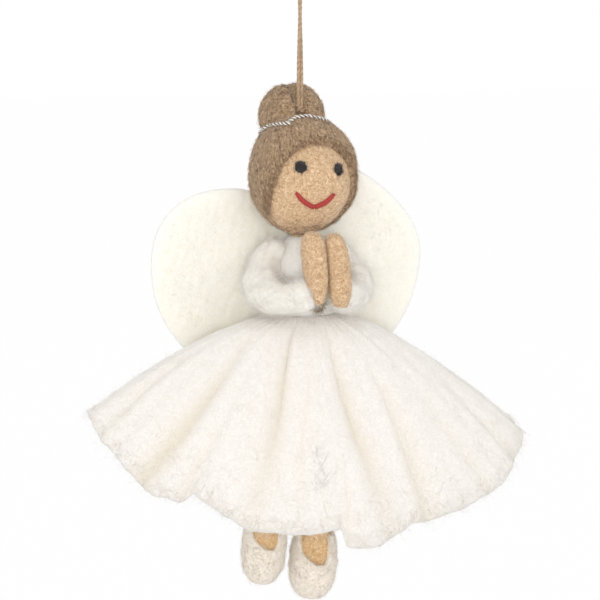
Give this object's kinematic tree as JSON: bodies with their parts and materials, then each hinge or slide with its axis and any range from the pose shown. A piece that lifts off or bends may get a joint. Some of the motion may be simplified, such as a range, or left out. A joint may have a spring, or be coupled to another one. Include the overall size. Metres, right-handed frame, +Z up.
{
  "type": "felt angel ornament",
  "caption": "Hanging felt angel doll with a round head and hair bun, praying hands, heart-shaped wings, a flared folded skirt and slippers, carried by a doubled jute twine.",
  "frame": {"origin": "inside top of the twine eye, where a hook bears on it", "axes": "+Z up along the twine, -Y to the front of the face, +X to the figure's left side"},
  "size_m": [0.152, 0.0673, 0.2126],
  "materials": {
    "jute_twine": "twisted jute",
    "hair_wool": "combed taupe wool",
    "skin_felt": "needle-felted wool",
    "eye_wool": "dark wool",
    "smile_thread": "red embroidery thread",
    "silver_cord": "twisted metallic thread",
    "white_wool": "fluffy white wool",
    "skirt_felt": "thin wet-felted wool",
    "wing_felt": "cream felt",
    "slipper_felt": "pale speckled felt",
    "white_thread": "cotton thread",
    "steel_wire": "bare wire"
  },
  "bodies": {
    "eye": {"twine_eye": "jute_twine"},
    "knot": {"eye_knot": "jute_twine"},
    "hanger": {"twine_strand_left": "jute_twine", "twine_strand_right": "jute_twine"},
    "head": {"anchor_knot": "jute_twine", "hair_bun": "hair_wool", "hair_band": "silver_cord", "hair_cap": "hair_wool", "head": "skin_felt", "left_eye": "eye_wool", "right_eye": "eye_wool", "mouth_left_stitch": "smile_thread", "mouth_right_stitch": "smile_thread"},
    "torso": {"neck": "skin_felt", "torso": "skin_felt", "bodice": "white_wool", "neck_wire": "steel_wire", "shoulder_wire": "steel_wire", "skirt": "skirt_felt", "waist_thread": "white_thread", "hip_thread": "white_thread", "wing_thread": "white_thread"},
    "left_arm": {"left_sleeve": "white_wool", "left_hand": "skin_felt", "left_arm_wire": "steel_wire"},
    "right_arm": {"right_sleeve": "white_wool", "right_hand": "skin_felt", "right_arm_wire": "steel_wire"},
    "left_wing": {"left_wing": "wing_felt"},
    "right_wing": {"right_wing": "wing_felt"},
    "left_leg": {"left_leg": "skin_felt", "left_slipper": "slipper_felt"},
    "right_leg": {"right_leg": "skin_felt", "right_slipper": "slipper_felt"}
  },
  "joints": [
    {"name": "fore_aft_swing", "type": "hinge", "parent": "eye", "child": "knot", "pos_m": [0, 0, -0.0115], "axis": [1, 0, 0], "range_deg": [-40, 40]},
    {"name": "side_swing", "type": "hinge", "parent": "knot", "child": "hanger", "pos_m": [0, 0, -0.0115], "axis": [0, 1, 0], "range_deg": [-40, 40]},
    {"name": "figure_spin", "type": "hinge", "parent": "hanger", "child": "head", "pos_m": [0, 0, -0.0512], "axis": [0, 0, 1], "continuous": true},
    {"name": "neck_turn", "type": "hinge", "parent": "head", "child": "torso", "pos_m": [0, -0.00296, -0.09602], "axis": [0, 0, 1], "range_deg": [-20, 20]},
    {"name": "left_shoulder", "type": "hinge", "parent": "torso", "child": "left_arm", "pos_m": [0.0105, -0.00296, -0.09902], "axis": [0, 0, 1], "range_deg": [0, 40]},
    {"name": "right_shoulder", "type": "hinge", "parent": "torso", "child": "right_arm", "pos_m": [-0.0105, -0.00296, -0.09902], "axis": [0, 0, -1], "range_deg": [0, 40]},
    {"name": "left_wing_flex", "type": "hinge", "parent": "torso", "child": "left_wing", "pos_m": [0.0007, 0.0108, -0.10254], "axis": [0, -0.191, 0.9816], "range_deg": [0, 30], "stiffness_Nm_per_rad": 0.0015},
    {"name": "right_wing_flex", "type": "hinge", "parent": "torso", "child": "right_wing", "pos_m": [-0.0007, 0.0108, -0.10254], "axis": [0, 0.191, -0.9816], "range_deg": [0, 30], "stiffness_Nm_per_rad": 0.0015},
    {"name": "left_hip", "type": "hinge", "parent": "torso", "child": "left_leg", "pos_m": [0.00825, -0.00296, -0.12902], "axis": [1, 0, 0], "range_deg": [-20, 7]},
    {"name": "right_hip", "type": "hinge", "parent": "torso", "child": "right_leg", "pos_m": [-0.00825, -0.00296, -0.12902], "axis": [1, 0, 0], "range_deg": [-20, 7]}
  ]
}
